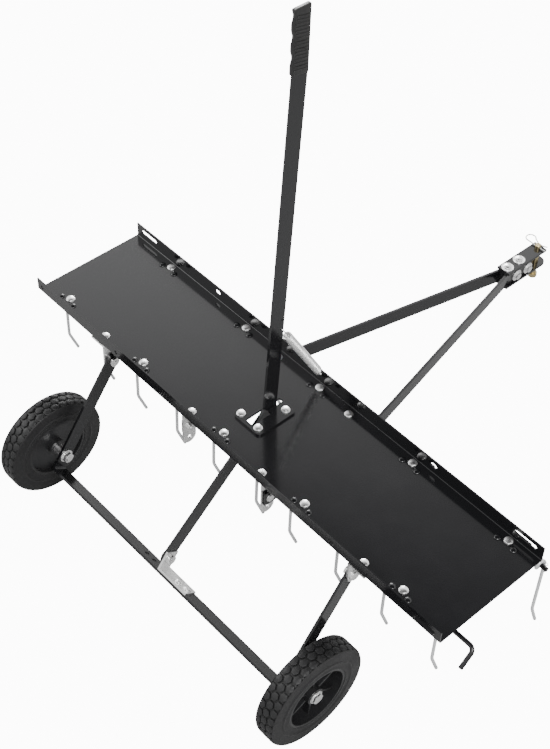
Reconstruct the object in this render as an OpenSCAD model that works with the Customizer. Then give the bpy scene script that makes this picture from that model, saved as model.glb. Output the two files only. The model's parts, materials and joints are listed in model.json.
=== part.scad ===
// Tow-behind dethatcher, in millimetres: X across the machine, Y towards the hitch, Z up.
// Places are measured from the deck: X 0 is its middle, Y 0 its rear face, Z 0 its underside.
// place() then moves the whole machine, so that its bounding box stands centred on the origin.

/* [Tray] */
// Length of the tray across the machine
tray_length = 1016; // [600:8:1500]
// Depth of the tray along the machine
tray_depth = 235; // [180:5:300]
// Height of the rear flange
rear_flange = 28; // [20:1:50]
// Height of the front flange
front_flange = 31; // [20:1:50]
// Thickness of the tray's sheet
sheet = 2.5; // [1.5:0.5:4]

/* [Tines] */
// Diameter of the tine wire
tine_wire = 6; // [4:0.5:8]
// Half the distance between the two legs of a double tine
tine_half = 57; // [40:1:70]
// Turns in each coil of a double tine, past which it ends half a turn on
tine_turns = 1; // [1:1:2]
// Drop of the tine tips below the deck
tine_drop = 196; // [150:1:230]

/* [Wheels] */
// Radius of the tyre
tyre_r = 101; // [80:1:130]
// Width of the tyre
tyre_width = 44; // [30:1:70]
// Distance of the tyres' middle planes from the tray's ends
wheel_in = 157.5; // [120:0.5:220]
// Distance from the wheel frame's pivot to the axle
axle_reach = 208; // [150:1:260]
// Slope of the wheel frame's arms below level
arm_slope = 54.5; // [20:0.5:70]

/* [Lever] */
// Width of the flat bars of the lever and of the wheel frame
bar_width = 28; // [20:1:40]
// Thickness of the flat bars
bar_thick = 5; // [4:0.5:8]
// Height of the lever's top above the deck's underside
lever_top = 779; // [500:1:900]
// Forward lean of the lever between its elbow and its grip
lever_lean = 2.9; // [0:0.1:10]

/* [Lift spring] */
// Turns of the lift spring
spring_turns = 34; // [10:1:36]
// Diameter of the spring's wire
spring_wire = 2; // [1:0.1:3]
// Radius of the spring's wire centre
spring_r = 7; // [5:0.5:9]

/* [Tow bars] */
// Height of the tow bars, which stand on edge
tow_height = 30; // [20:1:40]
// Distance of each tow bar's middle from the machine's middle, under the tray
tow_x = 106; // [60:0.5:200]
// Y of the hitch pin
pin_y = 818; // [500:1:1000]

/* [Hidden] */

$fn = 48;
black = [0.05, 0.05, 0.055];
zinc = [0.78, 0.78, 0.76];
tine_gray = [0.66, 0.67, 0.68];
rubber_black = [0.03, 0.03, 0.03];
brass_yellow = [0.5, 0.42, 0.24];
nylon_white = [0.8, 0.8, 0.78];

// Fits
hole_gap = 0.25;
run_gap = 0.08;
thread_gap = 0.1;
side_gap = 0.3;
through = 1;

// Fasteners
m8 = 8;
m10 = 10;
m12 = 12;
af_8 = 13;
af_10 = 17;
af_12 = 19;
washer_r = 12;
washer_sheet = 2;

// Tray: what lies along it spreads as it gets longer
tray_end = tray_length / 2;
spread = tray_length / 1016;
bend_r = 4.5;
long_slot = 45;
short_slot = 14;
slot_width = 9;
inner_slot = 272 * spread;
front_slot = 472 * spread;
rear_slot = 475 * spread;
front_slots = [[-front_slot, long_slot], [-inner_slot, short_slot],
    [inner_slot, short_slot], [front_slot, long_slot]];
rear_slots = [[-rear_slot, long_slot], [-inner_slot, short_slot],
    [inner_slot, short_slot], [rear_slot, long_slot]];
front_slot_z = 19;
rear_slot_z = 14;

// Tine brackets: the X of every bracket bolt, and the rows' Y
rear_bolts = spread * [-446, -233, -17, 183, 406];
front_bolts = spread * [-393, -181, 12, 237, 449];
rear_bolt_y = 27.6;
front_bolt_y = tray_depth - 13.3;
bracket_sheet = 2.5;
bracket_half = 27.5;
bracket_back = 17;
ear_r = 7.5;
rivet_x = 17;
rivet_back = 8;
rivet_r = 3;
rivet_head_r = 6.5;
rivet_head = 3;

// Tine rods
rod_r = 4;
rod_ahead = 18;
rod_z = -20;
rod_out = 10;
rod_bend_x = tray_end + 33;
rod_elbow_r = 10;
rod_tail = 38;
rear_rod_y = rear_bolt_y + rod_ahead;
front_rod_y = front_bolt_y + rod_ahead;
cotter_r = 1.3;
cotter_eye_r = 3;
cotter_half = 9;
cotter_inset = 4;

// Tine shape, from the rod's axis
coil_r = rod_r + 1.2 + tine_wire / 2;
coil_pitch = tine_wire + 0.8;
knee_y = 7.5;
knee_drop = 127;
knee_round = 4;
tip_y = 25;
tip_drop = tine_drop + rod_z - tine_wire / 2;
loop_in = 9;
loop_y = -12.5;
loop_z = -3;

// Latch plate and lever slot
latch_sheet = 4.5;
latch_x = [-37, 29];
latch_y = [65, 152];
latch_corner = 8;
latch_bolt_x = [-28.75, 14.75];
latch_bolt_y = [76.1, 139.1];
slot_x = [-13, 5];
slot_y = [73, 149.8];
notch_x = -4;
notch_y = 116;
deck_slot_margin = 2.5;
slot_corner = 2;

// Wheel frame: pivot, and reaches along the arms
pivot_y = 14;
pivot_z = -40;
wheel_x = tray_end - wheel_in;
arm_x = wheel_x - tyre_width / 2 - 20.5;
crossbar_reach = axle_reach + 28;
frame_bend_r = 10;
frame_turn = arm_slope - 180;
spare_holes = [-48, -28];
spare_hole_r = 4.25;
angle_sheet = 4;

// Lever
lever_x = -8;
lever_pivot_reach = crossbar_reach - 24;
lever_q = [pivot_y - lever_pivot_reach * cos(arm_slope), pivot_z - lever_pivot_reach * sin(arm_slope)];
lever_e = [122.5, 4];
spring_hole_r = 2.5;
spring_hole_in = 4.5;
spring_hole_up = 181;
spare_hole_up = 202;

// The lever's end, which stands upright in the grip
grip_length = 112;
grip_wall = 1.2;
grip_slope = 7;
lever_up = [sin(lever_lean), cos(lever_lean)];
lever_bend = lever_e + (lever_top + grip_wall - grip_length - lever_e[1]) / cos(lever_lean) * lever_up;
lever_line = [lever_e, lever_bend, [lever_bend[0], lever_top]];
scallop_r = 40;
scallop_depth = 1.6;
scallop_first = 13;
scallop_pitch = 33;

// Angle bracket between the lever and the crossbar
angle_x = lever_x + bar_thick / 2 + side_gap;
angle_end = 69;
angle_bolts = [38, 60];

// Hangers of the wheel frame
hanger_bolt = [arm_x + 21, 17.6];
hanger_x = arm_x + bar_thick / 2 + side_gap;
hanger_end = arm_x + 40;

// Wheels: reaches from the tyre's middle plane, outwards
rim_r = 60.5;
rim_wall = 4;
rim_half = 20;
hub_r = 16;
hub_out = 15.5;
hub_in = 19.5;
bush_r = 8;
web_sheet = 4;
web_in = 10;
rib_count = 6;
rib_thick = 4;
rib_out = 8;
tread_round = 9;
sidewall_ring_r = 75;
groove_depth = 3;
groove_width = 3;
axle_gap = 0.2;
axle_washer_r = 13;
spacer_r = 10;

// Tow bars and their brackets
tow_top = -30;
tow_rear = 10;
tow_bend_y = tray_depth + 46;
tow_join_y = 720;
tow_end = 790;
hitch_half = 6.5;
tow_bolt_x = 89.5;
tow_bolt_drop = 45;
tow_rear_y = 17.6;
tow_front_y = tray_depth - 18;
tow_tab_ahead = 3.4;
tow_spare_drop = 72;
tow_flange_in = 72;

// Hitch
plate_half = 15;
plate_sheet = 5;
hitch_rear = 718;
upper_front = 828;
lower_front = 838;
plate_bolts_y = [730, 763];
cross_bolts_y = [747, 779];
cross_bolt_z = -46;
pin_r = 6;
pin_top = -16;
pin_bottom = -96;
pin_head_r = 9;
pin_head = 8;
clip_z = -22;
clip_wire_r = 1.3;
clip_ring_r = 9.8;
clip_ring_x = -26;
clip_leg = 16;
clip_dent = 7.7;

// Lift spring: from the lever's hole to the front flange's hole
spring_top = [lever_x,
    lever_e[0] + spring_hole_up * lever_up[0] + (bar_width / 2 - spring_hole_in) * lever_up[1],
    lever_e[1] + spring_hole_up * lever_up[1] - (bar_width / 2 - spring_hole_in) * lever_up[0]];
spring_foot = [0, tray_depth - sheet / 2, 21];
spring_top_lead = 28;
spring_foot_lead = 16;

// The bounding box, which places the origin
x_low = -tray_end - rod_out;
x_high = rod_bend_x + rod_r;
y_low = pivot_y - axle_reach * cos(arm_slope) - tyre_r;
z_low = pivot_z - axle_reach * sin(arm_slope) - tyre_r;
origin = [(x_low + x_high) / 2, (y_low + lower_front) / 2, z_low];

module place() translate(-origin) children();

// An outline in Y and Z, made thick along X from x
module side(x, thick) translate([x, 0, 0]) rotate([90, 0, 90]) linear_extrude(thick) children();

// An outline in X and Y, made thick along Z from z
module flat(z, thick) translate([0, 0, z]) linear_extrude(thick) children();

// A round piece along X from x to x_end
module x_round(x, x_end, r) translate([x, 0, 0]) rotate([0, 90, 0]) cylinder(r = r, h = x_end - x);

module left_or_right(left) mirror([left ? 1 : 0, 0, 0]) children();

module bar_2d(p, q, width) translate(p) rotate(atan2(q[1] - p[1], q[0] - p[0]))
    translate([0, -width / 2]) square([norm(q - p), width]);

module round_bar_2d(p, q, width) {
    bar_2d(p, q, width);
    translate(p) circle(d = width);
    translate(q) circle(d = width);
}

module rounded_2d(low, high, r) {
    translate([low[0] + r, low[1]]) square([high[0] - low[0] - 2 * r, high[1] - low[1]]);
    translate([low[0], low[1] + r]) square([high[0] - low[0], high[1] - low[1] - 2 * r]);
    for (x = [low[0] + r, high[0] - r], y = [low[1] + r, high[1] - r]) translate([x, y]) circle(r = r);
}

module hexagon(across, height) cylinder(r = across / sqrt(3), h = height, $fn = 6);

// A bolt whose head sits on Z 0 and whose nut lies under the grip, as two solids
module bolt(d, across, grip) {
    head = 0.42 * d;
    nut = 0.65 * d;
    hexagon(across, head);
    cylinder(d = across * 1.25, h = head * 0.4);
    translate([0, 0, -grip - nut - through]) cylinder(d = d, h = grip + nut + through);
    translate([0, 0, -grip - nut]) difference() {
        hexagon(across, nut);
        translate([0, 0, -through]) cylinder(r = d / 2 + thread_gap, h = nut + 2 * through);
    }
}

module washer(r, d, height) difference() {
    cylinder(r = r, h = height);
    translate([0, 0, -through]) cylinder(r = d / 2 + thread_gap, h = height + 2 * through);
}

// The same bolt with a washer under its head and one under its nut, the first of which lies on Z 0
module washered_bolt(d, across, grip) {
    translate([0, 0, washer_sheet]) bolt(d, across, grip + 2 * washer_sheet);
    for (z = [0, -grip - washer_sheet]) translate([0, 0, z]) washer(washer_r, d, washer_sheet);
}

module hole(d, grip) translate([0, 0, -grip - through])
    cylinder(r = d / 2 + hole_gap, h = grip + 2 * through);

// The frame of the wheel frame: Y runs down its arms from the pivot, X across
module on_arms() translate([0, pivot_y, pivot_z]) rotate([frame_turn, 0, 0]) children();

function unit(v) = v / norm(v);

// A flat bar along a middle line, with mitred bends
function left_of(v) = [-v[1], v[0]] / norm(v);
function mitre(line, i) = let (before = left_of(line[max(i, 1)] - line[max(i, 1) - 1]),
    after = left_of(line[min(i, len(line) - 2) + 1] - line[min(i, len(line) - 2)]),
    m = unit(before + after)) m / (m * before);
function bar_side(line, reach) = [for (i = [0 : len(line) - 1]) line[i] + reach * mitre(line, i)];
module mitred_bar_2d(line, width) polygon(concat(bar_side(line, -width / 2),
    [for (i = [len(line) - 1 : -1 : 0]) bar_side(line, width / 2)[i]]));

// Tubes swept along a path, with faces of triangles
function square_to(v, t) = unit(v - (v * t) * t);
function tangent(path, i) = unit(path[min(i + 1, len(path) - 1)] - path[max(i - 1, 0)]);
function carried(path, first) = [for (i = 0, s = first; i < len(path); i = i + 1,
    s = square_to(s, tangent(path, min(i, len(path) - 1)))) s];
function ring(p, t, s, r, n) = [for (k = [0 : n - 1])
    p + r * (cos(360 * k / n) * s + sin(360 * k / n) * cross(t, s))];
function tube_points(path, first, r, n) = let (s = carried(path, first))
    [for (i = [0 : len(path) - 1]) let (t = tangent(path, i))
        for (q = ring(path[i], t, square_to(s[i], t), r, n)) q];
function tube_faces(rings, n) = concat(
    [for (k = [1 : n - 2]) [0, k, k + 1]],
    [for (i = [0 : rings - 2], k = [0 : n - 1]) let (a = i * n + k, b = i * n + (k + 1) % n)
        each [[a, a + n, b + n], [a, b + n, b]]],
    [for (k = [1 : n - 2]) let (e = (rings - 1) * n) [e, e + k + 1, e + k]]);
module tube(path, first, r, n = 6) polyhedron(tube_points(path, first, r, n), tube_faces(len(path), n));

// The least gap of a wire to itself, measured between points at least half a curl apart
function least_gap(path, wire, apart = 5) = min([for (i = [0 : len(path) - apart - 1],
    j = [i + apart : len(path) - 1]) norm(path[i] - path[j])]) - wire;

module bend_2d() intersection() {
    difference() {
        circle(r = bend_r);
        circle(r = bend_r - sheet);
    }
    translate([-bend_r, -bend_r]) square(bend_r);
}

module tray_2d() {
    translate([bend_r, 0]) square([tray_depth - 2 * bend_r, sheet]);
    translate([0, bend_r]) square([sheet, rear_flange - bend_r]);
    translate([tray_depth - sheet, bend_r]) square([sheet, front_flange - bend_r]);
    translate([bend_r, bend_r]) bend_2d();
    translate([tray_depth - bend_r, bend_r]) mirror([1, 0]) bend_2d();
}

// A slot through a flange, which ends at y
module flange_slot(x, y, z, long) translate([x, y + through, z]) rotate([90, 0, 0])
    linear_extrude(sheet + 2 * through)
        round_bar_2d([-(long - slot_width) / 2, 0], [(long - slot_width) / 2, 0], slot_width);

module at_deck_bolts() {
    for (x = rear_bolts) translate([x, rear_bolt_y, 0]) children();
    for (x = front_bolts) translate([x, front_bolt_y, 0]) children();
}

module at_rivets() for (s = [-1, 1]) translate([s * rivet_x, -rivet_back, 0]) children();

module at_hanger_bolts() for (s = [-1, 1]) translate([s * hanger_bolt[0], hanger_bolt[1], 0]) children();

module at_tow_bolts() for (s = [-1, 1], y = [tow_rear_y, tow_front_y])
    translate([s * tow_bolt_x, y, 0]) children();

module at_latch_bolts() for (x = latch_bolt_x, y = latch_bolt_y) translate([x, y, 0]) children();

module tray() color(black) difference() {
    side(-tray_end, tray_length) tray_2d();
    at_deck_bolts() {
        translate([0, 0, sheet]) hole(m8, sheet);
        at_rivets() translate([0, 0, -through]) cylinder(r = rivet_r, h = sheet + 2 * through);
    }
    translate([0, 0, sheet]) {
        at_hanger_bolts() hole(m8, sheet);
        at_tow_bolts() hole(m8, sheet);
        at_latch_bolts() hole(m8, sheet);
    }
    translate([slot_x[0] - deck_slot_margin, slot_y[0] - deck_slot_margin, -through])
        cube([slot_x[1] - slot_x[0] + 2 * deck_slot_margin, slot_y[1] - slot_y[0] + 2 * deck_slot_margin,
            sheet + 2 * through]);
    for (s = rear_slots) flange_slot(s[0], sheet, rear_slot_z, s[1]);
    for (s = front_slots) flange_slot(s[0], tray_depth, front_slot_z, s[1]);
    translate([0, tray_depth + through, spring_foot[2]]) rotate([90, 0, 0])
        cylinder(r = spring_hole_r + 0.5, h = sheet + 2 * through);
}

// The lever moves along the slot's left side. The slot's rear part is wider: a lever that is drawn back
// can be set to the right there, and the step then holds it.
module latch_plate() color(black) difference() {
    flat(sheet, latch_sheet) difference() {
        rounded_2d([latch_x[0], latch_y[0]], [latch_x[1], latch_y[1]], latch_corner);
        rounded_2d([slot_x[0], slot_y[0]], [slot_x[1], notch_y], slot_corner);
        rounded_2d([slot_x[0], slot_y[0]], [notch_x, slot_y[1]], slot_corner);
    }
    at_latch_bolts() translate([0, 0, sheet + latch_sheet]) hole(m8, latch_sheet);
}

module latch_bolts() color(zinc) at_latch_bolts()
    translate([0, 0, sheet + latch_sheet]) bolt(m8, af_8, sheet + latch_sheet);

// The lever's upper part: Y runs up along it from the elbow, X forwards
module on_lever_2d() translate(lever_e) rotate(-lever_lean) children();

module lever_2d() difference() {
    union() {
        translate(lever_q) circle(d = bar_width);
        mitred_bar_2d(concat([lever_q], lever_line), bar_width);
    }
    translate(lever_q) circle(r = m10 / 2 + run_gap);
    on_lever_2d() for (up = [spring_hole_up, spare_hole_up])
        translate([bar_width / 2 - spring_hole_in, up]) circle(r = spring_hole_r);
}

module lever() color(black) side(lever_x - bar_thick / 2, bar_thick) lever_2d();

// Three finger scallops behind, and a lower edge that slopes down towards the front
module grip_2d() translate(lever_bend) difference() {
    rear = bar_width / 2 + grip_wall + scallop_depth;
    front = bar_width / 2 + grip_wall;
    rounded_2d([-rear, 0], [front, grip_length], 3);
    for (i = [0 : 2]) translate([-rear - scallop_r + scallop_depth,
        grip_length - scallop_first - i * scallop_pitch]) circle(r = scallop_r);
    polygon([[-rear - through, grip_slope], [-rear - through, -through], [front, -through], [front, 0]]);
}

module lever_grip() color(rubber_black) difference() {
    side(lever_x - bar_thick / 2 - grip_wall, bar_thick + 2 * grip_wall) grip_2d();
    lever();
}

spring_s = unit(spring_foot - spring_top);
spring_long = norm(spring_foot - spring_top);
spring_e1 = square_to([1, 0, 0], spring_s);
spring_e2 = cross(spring_s, spring_e1);
spring_curl = 360 / 8;
spring_steps = spring_turns * 8 + 2;
spring_pitch = (spring_long - spring_top_lead - spring_foot_lead) / (spring_turns + 0.25);

// The wire: a side hook in the lever's hole, the curls, and a side hook in the flange's hole
spring_path = concat(
    [for (a = [-110 : 40 : 90]) spring_top
        + spring_r * (1 - cos(a)) * spring_s + spring_r * sin(a) * spring_e1],
    [for (i = [0 : spring_steps]) spring_top + (spring_top_lead + spring_pitch * i / 8) * spring_s
        + spring_r * (cos(i * spring_curl) * spring_e1 + sin(i * spring_curl) * spring_e2)],
    [for (a = [-90 : 40 : 70]) spring_foot
        - spring_r * (1 - cos(a)) * spring_s - spring_r * sin(a) * spring_e2]);
echo("lift spring: least gap, pitch", least_gap(spring_path, spring_wire), spring_pitch);

module lift_spring() color(zinc) tube(spring_path, spring_s, spring_wire / 2);

module wheel_frame_2d() {
    out = arm_x + bar_thick / 2;
    foot = crossbar_reach + bar_thick;
    difference() {
        translate([-out, -bar_width]) square([2 * out, foot + bar_width]);
        translate([-out + bar_thick, -2 * bar_width])
            square([2 * out - 2 * bar_thick, crossbar_reach + 2 * bar_width - frame_bend_r + bar_thick]);
        translate([-out + frame_bend_r, 0]) square([2 * out - 2 * frame_bend_r, crossbar_reach]);
        for (s = [-1, 1]) difference() {
            translate([s > 0 ? out - frame_bend_r : -out, foot - frame_bend_r])
                square([frame_bend_r, frame_bend_r]);
            translate([s * (out - frame_bend_r), foot - frame_bend_r]) circle(r = frame_bend_r);
        }
        for (s = [-1, 1]) translate([s * (out - frame_bend_r), foot - frame_bend_r])
            circle(r = frame_bend_r - bar_thick);
    }
}

// The bar is 28 wide, its arm ends are round about the pivot
module wheel_frame() color(black) on_arms() difference() {
    intersection() {
        translate([0, 0, -bar_width / 2]) linear_extrude(bar_width) wheel_frame_2d();
        union() {
            x_round(-wheel_x, wheel_x, bar_width / 2);
            translate([-wheel_x, 0, -bar_width / 2])
                cube([2 * wheel_x, crossbar_reach + bar_width, bar_width]);
        }
    }
    x_round(-wheel_x, wheel_x, m10 / 2 + run_gap);
    translate([0, axle_reach, 0]) x_round(-wheel_x, wheel_x, m12 / 2 + hole_gap);
    for (x = spare_holes) translate([x, crossbar_reach - through, 0]) rotate([-90, 0, 0])
        cylinder(r = spare_hole_r, h = bar_thick + 2 * through);
    for (x = angle_bolts) translate([x, crossbar_reach, 0]) rotate([90, 0, 0]) hole(m8, bar_thick);
}

module lever_bracket() color(zinc) on_arms() difference() {
    union() {
        translate([angle_x, lever_pivot_reach - bar_width / 2, -bar_width / 2])
            cube([angle_sheet, crossbar_reach - lever_pivot_reach + bar_width / 2, bar_width]);
        translate([angle_x, crossbar_reach - angle_sheet, -bar_width / 2])
            cube([angle_end - angle_x, angle_sheet, bar_width]);
    }
    translate([0, lever_pivot_reach, 0]) x_round(-bar_width, angle_end, m10 / 2 + hole_gap);
    for (x = angle_bolts) translate([x, crossbar_reach - angle_sheet, 0]) rotate([90, 0, 0])
        hole(m8, angle_sheet);
}

module lever_bracket_bolts() color(zinc) on_arms() for (x = angle_bolts)
    translate([x, crossbar_reach - angle_sheet, 0]) rotate([90, 0, 0])
        bolt(m8, af_8, angle_sheet + bar_thick);

// Its head lies on the lever's other face, with a running gap
module lever_pivot_bolt() color(zinc) on_arms()
    translate([lever_x - bar_thick / 2 - side_gap, lever_pivot_reach, 0]) rotate([0, -90, 0])
        bolt(m10, af_10, bar_thick + 2 * side_gap + angle_sheet);

module frame_hanger(left) color(zinc) left_or_right(left) difference() {
    union() {
        side(hanger_x, angle_sheet) round_bar_2d([pivot_y, pivot_z], [pivot_y, -bar_width / 2], bar_width);
        side(hanger_x, angle_sheet) translate([pivot_y - bar_width / 2, -bar_width / 2])
            square([bar_width, bar_width / 2]);
        translate([hanger_x, pivot_y - bar_width / 2, -angle_sheet])
            cube([hanger_end - hanger_x, bar_width, angle_sheet]);
    }
    translate([0, pivot_y, pivot_z]) x_round(arm_x, hanger_end, m10 / 2 + hole_gap);
    translate([hanger_bolt[0], hanger_bolt[1], 0]) hole(m8, angle_sheet);
}

module frame_pivot_bolt(left) color(zinc) left_or_right(left)
    translate([hanger_x + angle_sheet, pivot_y, pivot_z]) rotate([0, 90, 0])
        bolt(m10, af_10, angle_sheet + bar_thick + 2 * side_gap);

module hanger_bolts() color(zinc) at_hanger_bolts()
    translate([0, 0, sheet]) bolt(m8, af_8, sheet + angle_sheet);

// The frame of a wheel: Z runs outwards from the tyre's middle plane along the axle
module on_wheel(left) left_or_right(left) on_arms() translate([wheel_x, axle_reach, 0])
    rotate([0, 90, 0]) children();

module tyre_2d() difference() {
    half = tyre_width / 2;
    union() {
        translate([rim_r, -half + 1]) square([tyre_r - rim_r - tread_round, tyre_width - 2]);
        translate([rim_r, -half + tread_round]) square([tyre_r - rim_r, tyre_width - 2 * tread_round]);
        for (s = [-1, 1]) {
            translate([tyre_r - tread_round, s * (half - tread_round)]) circle(r = tread_round);
            translate([sidewall_ring_r, s * (half - 1.5)]) circle(r = 1.5);
        }
    }
    for (z = [-7, 7]) translate([tyre_r - groove_depth, z - groove_width / 2])
        square([groove_depth + through, groove_width]);
}

module tyre(left) color(rubber_black) on_wheel(left) rotate_extrude($fn = 96) tyre_2d();

module rim_2d() {
    translate([rim_r - rim_wall, -rim_half]) square([rim_wall, 2 * rim_half]);
    translate([hub_r - 1, -web_in]) square([rim_r - rim_wall - hub_r + 2, web_sheet]);
    translate([bush_r, -hub_in]) square([hub_r - bush_r, hub_in + hub_out]);
}

module rim(left) color(black) on_wheel(left) {
    rotate_extrude($fn = 96) rim_2d();
    for (i = [0 : rib_count - 1]) rotate(360 * i / rib_count)
        translate([hub_r - 1, -rib_thick / 2, -web_in + web_sheet / 2])
            cube([rim_r - rim_wall - hub_r + 2, rib_thick, web_in - web_sheet / 2 + rib_out]);
}

module hub_bush(left) color(nylon_white) on_wheel(left) rotate_extrude($fn = 96)
    translate([m12 / 2 + run_gap, -hub_in]) square([bush_r - m12 / 2 - run_gap, hub_in + hub_out]);

// The bolt with its nut, the washers under head and nut, and the spacer between hub and arm
module axle_bolt(left) color(zinc) on_wheel(left) {
    head_seat = hub_out + axle_gap + washer_sheet + thread_gap;
    arm_out = arm_x + bar_thick / 2 - wheel_x;
    grip = head_seat - arm_out + bar_thick + washer_sheet + 2 * thread_gap;
    translate([0, 0, head_seat]) bolt(m12, af_12, grip);
    for (seat = [[hub_out + axle_gap, washer_sheet, axle_washer_r],
                 [arm_out - bar_thick - washer_sheet - thread_gap, washer_sheet, axle_washer_r],
                 [arm_out, -hub_in - axle_gap - arm_out, spacer_r]])
        translate([0, 0, seat[0]]) washer(seat[2], m12, seat[1]);
}

// The tow bar's middle line
tow_line = [[tow_x, tow_rear], [tow_x, tow_bend_y],
    [hitch_half + bar_thick / 2, tow_join_y], [hitch_half + bar_thick / 2, tow_end]];

module at_tabs() for (y = [tow_rear_y, tow_front_y]) translate([0, y + tow_tab_ahead, 0]) children();

module tow_bar(left) color(black) left_or_right(left) difference() {
    flat(tow_top - tow_height, tow_height) mitred_bar_2d(tow_line, bar_thick);
    at_tabs() translate([tow_x + bar_thick / 2, 0, -tow_bolt_drop]) rotate([0, 90, 0]) hole(m8, bar_thick);
    for (y = cross_bolts_y) translate([hitch_half + bar_thick, y, cross_bolt_z])
        rotate([0, 90, 0]) hole(m8, bar_thick);
}

// The tab lies on the bar's inner face and reaches below it, to a spare hole. y is the deck bolt's.
module tow_bracket(left, y) color(zinc) left_or_right(left) difference() {
    tab_x = tow_x - bar_thick / 2 - angle_sheet;
    tab_y = y + tow_tab_ahead;
    union() {
        side(tab_x, angle_sheet) {
            translate([tab_y, -tow_spare_drop]) circle(d = bar_width);
            translate([tab_y - bar_width / 2, -tow_spare_drop]) square([bar_width, tow_spare_drop]);
        }
        translate([tow_flange_in, tab_y - bar_width / 2, -angle_sheet])
            cube([tab_x + angle_sheet - tow_flange_in, bar_width, angle_sheet]);
    }
    translate([tow_bolt_x, y, 0]) hole(m8, angle_sheet);
    for (drop = [tow_bolt_drop, tow_spare_drop])
        translate([tab_x + angle_sheet, tab_y, -drop]) rotate([0, 90, 0]) hole(m8, angle_sheet);
}

module tow_bracket_bolts() color(zinc) {
    at_tow_bolts() translate([0, 0, sheet]) bolt(m8, af_8, sheet + angle_sheet);
    for (left = [false, true]) left_or_right(left) at_tabs()
        translate([tow_x + bar_thick / 2, 0, -tow_bolt_drop]) rotate([0, 90, 0])
            bolt(m8, af_8, bar_thick + angle_sheet);
}

module hitch_plate(z, round_front) color(black) difference() {
    flat(z, plate_sheet) {
        if (round_front) {
            translate([-plate_half, hitch_rear])
                square([2 * plate_half, lower_front - plate_half - hitch_rear]);
            translate([0, lower_front - plate_half]) circle(r = plate_half);
        } else {
            translate([-plate_half, hitch_rear]) square([2 * plate_half, upper_front - hitch_rear]);
        }
    }
    for (y = plate_bolts_y) translate([0, y, z + plate_sheet]) hole(m8, plate_sheet);
    translate([0, pin_y, z - through]) cylinder(r = pin_r + run_gap, h = plate_sheet + 2 * through);
}

module hitch_block() color(black) difference() {
    translate([-hitch_half, hitch_rear, tow_top - tow_height])
        cube([2 * hitch_half, tow_end - hitch_rear, tow_height]);
    for (y = plate_bolts_y) translate([0, y, tow_top]) hole(m8, tow_height);
    for (y = cross_bolts_y) translate([hitch_half, y, cross_bolt_z]) rotate([0, 90, 0])
        hole(m8, 2 * hitch_half);
}

module hitch_plate_bolts() color(zinc) for (y = plate_bolts_y)
    translate([0, y, tow_top + plate_sheet]) washered_bolt(m8, af_8, tow_height + 2 * plate_sheet);

// Heads on the left, nuts on the right
module hitch_cross_bolts() color(zinc) for (y = cross_bolts_y)
    translate([-hitch_half - bar_thick, y, cross_bolt_z]) rotate([0, -90, 0])
        washered_bolt(m8, af_8, 2 * (hitch_half + bar_thick));

module hitch_pin() color(brass_yellow) translate([0, pin_y, 0]) difference() {
    union() {
        translate([0, 0, pin_bottom]) cylinder(r = pin_head_r, h = pin_head);
        translate([0, 0, pin_bottom]) cylinder(r = pin_r, h = pin_top - pin_bottom - 1.5);
        translate([0, 0, pin_top - 1.5]) cylinder(r1 = pin_r, r2 = pin_r - 1.5, h = 1.5);
    }
    translate([0, 0, clip_z]) x_round(-pin_head_r, pin_head_r, clip_wire_r + hole_gap);
}

// One straight leg in the pin's hole, a ring beside the pin, and a leg that hugs the pin from outside
clip_path = concat(
    [[clip_leg, 0, 0], [clip_ring_x, 0, 0]],
    [for (a = [-110 : -20 : -330])
        [clip_ring_x + clip_ring_r * cos(a), clip_ring_r + clip_ring_r * sin(a), 0]],
    [[-5.5, 8.4, 0], [0, clip_dent, 0], [7, 9, 0], [13, 12.5, 0]]);
module hitch_clip() color(zinc) translate([0, pin_y, clip_z]) tube(clip_path, [0, 0, 1], clip_wire_r, 8);

module cotter_hole(x) translate([x, 0, -rod_r - through])
    cylinder(r = cotter_r + hole_gap, h = 2 * (rod_r + through));

// Its right end runs on past the tray and bends down and rearwards
module tine_rod_rear() color(black) translate([0, rear_rod_y, rod_z]) difference() {
    union() {
        x_round(-tray_end - rod_out, rod_bend_x - rod_elbow_r, rod_r);
        rotate([135, 0, 0]) translate([rod_bend_x - rod_elbow_r, 0, rod_elbow_r]) {
            rotate([90, 0, 0]) rotate(-90) rotate_extrude(angle = 90)
                translate([rod_elbow_r, 0]) circle(r = rod_r);
            translate([rod_elbow_r, 0, 0]) cylinder(r = rod_r, h = rod_tail - rod_elbow_r);
        }
    }
    cotter_hole(-tray_end - rod_out + cotter_inset);
}

module tine_rod_front() color(black) translate([0, front_rod_y, rod_z]) difference() {
    x_round(-tray_end - rod_out, tray_end + rod_out, rod_r);
    for (s = [-1, 1]) cotter_hole(s * (tray_end + rod_out - cotter_inset));
}

module cotter() {
    translate([0, 0, -cotter_half]) cylinder(r = cotter_r, h = 2 * cotter_half, $fn = 24);
    translate([0, 0, cotter_half + cotter_eye_r]) rotate([90, 0, 0])
        rotate_extrude($fn = 24) translate([cotter_eye_r, 0]) circle(r = cotter_r, $fn = 24);
}

module rod_cotters() color(zinc) translate([0, 0, rod_z]) {
    end = tray_end + rod_out - cotter_inset;
    for (p = [[-end, rear_rod_y], [-end, front_rod_y], [end, front_rod_y]])
        translate([p[0], p[1], 0]) cotter();
}

// A plate under the deck with two ears that hold the rod, about its bolt
module tine_bracket() difference() {
    union() {
        translate([-bracket_half, -bracket_back, -bracket_sheet])
            cube([2 * bracket_half, bracket_back + rod_ahead + ear_r, bracket_sheet]);
        for (x = [-bracket_half, bracket_half - bracket_sheet]) side(x, bracket_sheet) {
            translate([rod_ahead, rod_z]) circle(r = ear_r);
            translate([rod_ahead - ear_r, rod_z]) square([2 * ear_r, -rod_z]);
        }
    }
    hole(m8, bracket_sheet);
    at_rivets() translate([0, 0, -bracket_sheet - through])
        cylinder(r = rivet_r, h = bracket_sheet + 2 * through);
    translate([0, rod_ahead, rod_z])
        x_round(-bracket_half - through, bracket_half + through, rod_r + thread_gap);
}

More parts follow.
